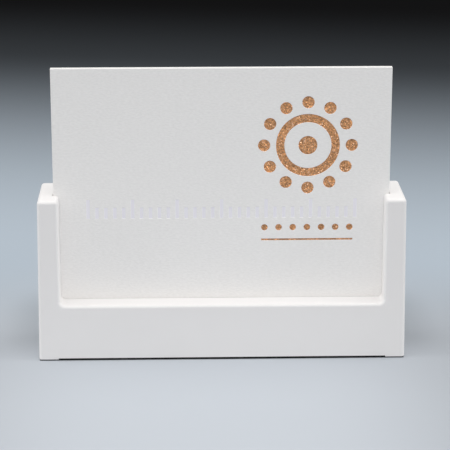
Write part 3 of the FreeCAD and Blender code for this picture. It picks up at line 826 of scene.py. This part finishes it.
class DESK_CALENDAR_OT_phone_pads(bpy.types.Operator):
    """Lay the ribbed silicone pads that a phone stands on and leans against"""

    bl_idname = "desk_calendar.phone_pads"
    bl_label = "Phone Pads"

    def execute(self, context):
        settings = context.scene.calendar_stand
        silicone = rubber_finish("pad_silicone", settings.silicone_colour, roughness=0.55, dustiness=0.35)
        for node, across, up in (("phone_rest_pad", (0, 1, 0), (0, 0, 1)),
                                 ("phone_back_pad", (0, 0, 1), (0, 1, 0))):
            lay_strip(node, (1, 0, 0), across, up, silicone, settings)
        return {"FINISHED"}


class DESK_CALENDAR_OT_cover(bpy.types.Operator):
    """Give the cover card its textured paper"""

    bl_idname = "desk_calendar.cover"
    bl_label = "Cover Card"

    def execute(self, context):
        cards = context.scene.calendar_cards
        paper = paper_finish("cover_paper", cards.cover_colour, cards.fibre, cards.fibre_stretch,
                             cards.cover_tooth, cards.pearl_colour)
        dress(paper, "cover_card")
        return {"FINISHED"}


class DESK_CALENDAR_OT_foil(bpy.types.Operator):
    """Give the pressed shapes their copper glitter foil"""

    bl_idname = "desk_calendar.foil"
    bl_label = "Copper Foil"

    def execute(self, context):
        cards = context.scene.calendar_cards
        copper = foil_finish("copper_glitter", cards.foil_colour, cards.glitter)
        foil = pressed_foil(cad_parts["cover_foil"].data, cards)
        piece = new_piece("cover_foil_pressed", foil, "cover", copper)
        piece.data.set_sharp_from_angle(angle=SHARP_ANGLE)
        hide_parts("cover_foil")
        return {"FINISHED"}


class DESK_CALENDAR_OT_month_cards(bpy.types.Operator):
    """Give the month cards their paper, and print the days in front and ruled lines behind"""

    bl_idname = "desk_calendar.month_cards"
    bl_label = "Month Cards"

    def execute(self, context):
        cards = context.scene.calendar_cards
        month_fibre = 0.6 * cards.fibre
        ruling_colour = shade(cards.month_colour, 0.55)
        paper = paper_finish("month_paper", cards.month_colour, month_fibre, cards.fibre_stretch,
                             cards.month_tooth)
        ink = ink_finish("day_ink", cards.ink_colour)
        accent = ink_finish("accent_ink", cards.accent_colour)
        pale = ink_finish("ruling_ink", ruling_colour)
        shapes = figure_shapes()
        for month in range(1, len(MONTH_DAYS) + 1):
            node, body = f"month_card_{month:02d}", f"month_{month:02d}"
            low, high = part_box(node)
            dress(paper, node)
            days = front_print(month, shapes, low, high, cards)
            new_piece(f"{body}_days", days, body, ink, accent)
            new_piece(f"{body}_ruling", back_print(low, high, cards), body, pale)
        for shape in shapes.values():
            bpy.data.meshes.remove(shape)
        return {"FINISHED"}


class DESK_CALENDAR_OT_stage(bpy.types.Operator):
    """Set up the floor, the light and the camera"""

    bl_idname = "desk_calendar.stage"
    bl_label = "Stage"

    def execute(self, context):
        stage = context.scene.calendar_stage
        context.scene.view_settings.view_transform = "Standard"
        self.lay_floor(context, stage)
        self.light(context, stage)
        self.set_camera(context, stage)
        return {"FINISHED"}

    @staticmethod
    def lay_floor(context, stage):
        """A wide pale sheet with a painted pool of light: painted shade all round, beside, behind and
        under the object, and painted darkness far behind it.
        """
        reach = 8.0
        # How far inside the object's footprint the painted shadow under it stops.
        edge = 0.3 * MM
        # Shares and reach of the painted falloff of light far behind the object.
        main_fade, last_fade = 0.90, 0.10
        last_start, last_end = 0.75 * stage.fade_end, 1.4 * stage.fade_end
        side, back = cad_box[1][0], cad_box[1][1]
        # Where the painted contact shadow starts, is full, wanes and ends, from in front of the object to
        # behind it.
        contact_start, contact_full = -back, 0.75 * back
        contact_wane, contact_end = 2.75 * back, 5.25 * back
        # The painted falloff at the sides fades out between these distances in front of the object.
        outer_start, outer_full = -4 * stage.fade_start, -stage.fade_start
        material, nodes = new_finish("floor_sheet")
        across = nodes.axis(nodes.place(), "X")
        behind = nodes.axis(nodes.place(), "Y")
        outward = across + stage.side_offset
        askew = behind + stage.fade_skew * across
        # Painted falloff of light: the floor darkens far behind the object, sooner on the right.
        far = main_fade * nodes.ease(askew, stage.fade_start, stage.fade_end)
        far = far + last_fade * nodes.ease(askew, last_start, last_end)
        # Painted contact shadow on the floor close beside the object.
        beside = 1 - nodes.ease(across * across, side ** 2, (side + stage.contact_reach) ** 2)
        along = nodes.ease(behind, contact_start, contact_full)
        along = along * (1 - nodes.ease(behind, contact_wane, contact_end))
        # Painted falloff of light out at the sides, fading out far in front of the object.
        outer = nodes.ease(outward * outward, 0.0, stage.side_reach ** 2)
        outer = outer * nodes.ease(behind, outer_start, outer_full)
        # Painted falloff of light far in front of the object.
        ahead = 1 - nodes.ease(behind, -stage.front_end, -stage.front_start)
        # Painted shadow on the floor under the object's footprint.
        under = (across * across < (side - edge) ** 2) * (behind * behind < (back - edge) ** 2)
        tone = nodes.blend(outer * stage.side_shade, stage.floor_colour, stage.far_colour)
        # Painted shade behind the object: the floor turns to the darker copy of its colour just behind
        # it.
        tone = nodes.blend(nodes.ease(behind, 0.0, stage.fade_start), tone, stage.back_colour)
        tone = nodes.blend(beside * along * stage.contact_shade, tone, stage.far_colour)
        tone = nodes.blend(ahead * stage.front_shade, tone, stage.far_colour)
        tone = nodes.blend(under * stage.under_shade, tone, stage.far_colour)
        nodes.surface({
            "Base Color": nodes.blend(far, tone, stage.far_colour),
            "Roughness": 0.8,
            "Specular IOR Level": 0.0,
        })
        maker = bmesh.new()
        corners = ((-reach, -reach), (reach, -reach), (reach, reach), (-reach, reach))
        maker.faces.new([maker.verts.new((x, y, 0)) for x, y in corners])
        mesh = bpy.data.meshes.new("floor")
        maker.to_mesh(mesh)
        maker.free()
        mesh.materials.append(material)
        floor = bpy.data.objects.new("floor", mesh)
        context.scene.collection.objects.link(floor)

    @staticmethod
    def light(context, stage):
        """One wide soft lamp straight above, a soft panel at each side, and an even sky."""
        lamp_size = (stage.lamp_width, stage.lamp_depth)
        panel_size = (stage.panel_height, stage.panel_width)
        lamps = [("lamp", stage.lamp_place, 0.0, lamp_size, stage.lamp_power)]
        for name, side in (("left_panel", -1), ("right_panel", 1)):
            place = stage.panel_place * Vector((side, 1, 1))
            lamps.append((name, place, RIGHT_ANGLE * side, panel_size, stage.panel_power))
        for name, place, turn, size, power in lamps:
            soft_box = bpy.data.lights.new(name, "AREA")
            soft_box.shape = "RECTANGLE"
            soft_box.size, soft_box.size_y = size
            soft_box.energy = power
            soft_box.color = stage.lamp_colour
            lamp = bpy.data.objects.new(name, soft_box)
            lamp.location = place
            lamp.rotation_euler.y = turn
            context.scene.collection.objects.link(lamp)
        world = bpy.data.worlds.new("studio")
        world.use_nodes = True
        context.scene.world = world
        nodes = Nodes(world.node_tree)
        sky = nodes.add("ShaderNodeBackground", {}, {"Color": (1, 1, 1, 1), "Strength": stage.sky})
        nodes.add("ShaderNodeOutputWorld", {}, {"Surface": sky})

    @staticmethod
    def set_camera(context, stage):
        """The camera where the photograph was taken from."""
        lens = bpy.data.cameras.new("camera")
        lens.sensor_width = SENSOR_WIDTH
        lens.lens = stage.focal_length
        camera = bpy.data.objects.new("camera", lens)
        turn = Matrix.Rotation(stage.camera_yaw, 4, "Z")
        tilt = Matrix.Rotation(RIGHT_ANGLE - stage.camera_pitch, 4, "X")
        roll = Matrix.Rotation(-stage.camera_roll, 4, "Z")
        camera.matrix_world = Matrix.Translation(stage.camera_place) @ turn @ tilt @ roll
        context.scene.collection.objects.link(camera)
        context.scene.camera = camera


class DESK_CALENDAR_PT_panel(bpy.types.Panel):
    """Lists the steps that dress the calendar, with their settings"""

    bl_idname = "DESK_CALENDAR_PT_panel"
    bl_label = "Desk Calendar"
    bl_space_type = "VIEW_3D"
    bl_region_type = "UI"
    bl_category = "Desk Calendar"

    def draw(self, context):
        column = self.layout.column(align=True)
        for operator in OPERATORS:
            column.operator(operator.bl_idname)
        for name in SETTINGS:
            group = getattr(context.scene, name)
            box = self.layout.box()
            for setting in group.__annotations__:
                box.prop(group, setting)


OPERATORS = (
    DESK_CALENDAR_OT_housing,
    DESK_CALENDAR_OT_underside,
    DESK_CALENDAR_OT_phone_pads,
    DESK_CALENDAR_OT_cover,
    DESK_CALENDAR_OT_foil,
    DESK_CALENDAR_OT_month_cards,
    DESK_CALENDAR_OT_stage,
)
SETTINGS = {
    "calendar_stand": StandSettings,
    "calendar_cards": CardSettings,
    "calendar_stage": StageSettings,
}
CLASSES = (*SETTINGS.values(), *OPERATORS, DESK_CALENDAR_PT_panel)


def register():
    for item in CLASSES:
        bpy.utils.register_class(item)
    for name, group in SETTINGS.items():
        setattr(bpy.types.Scene, name, PointerProperty(type=group))


def unregister():
    for name in SETTINGS:
        delattr(bpy.types.Scene, name)
    for item in reversed(CLASSES):
        bpy.utils.unregister_class(item)


def main():
    register()
    bpy.ops.desk_calendar.housing()
    bpy.ops.desk_calendar.underside()
    bpy.ops.desk_calendar.phone_pads()
    bpy.ops.desk_calendar.cover()
    bpy.ops.desk_calendar.foil()
    bpy.ops.desk_calendar.month_cards()
    bpy.ops.desk_calendar.stage()


if __name__ == "__main__":
    main()
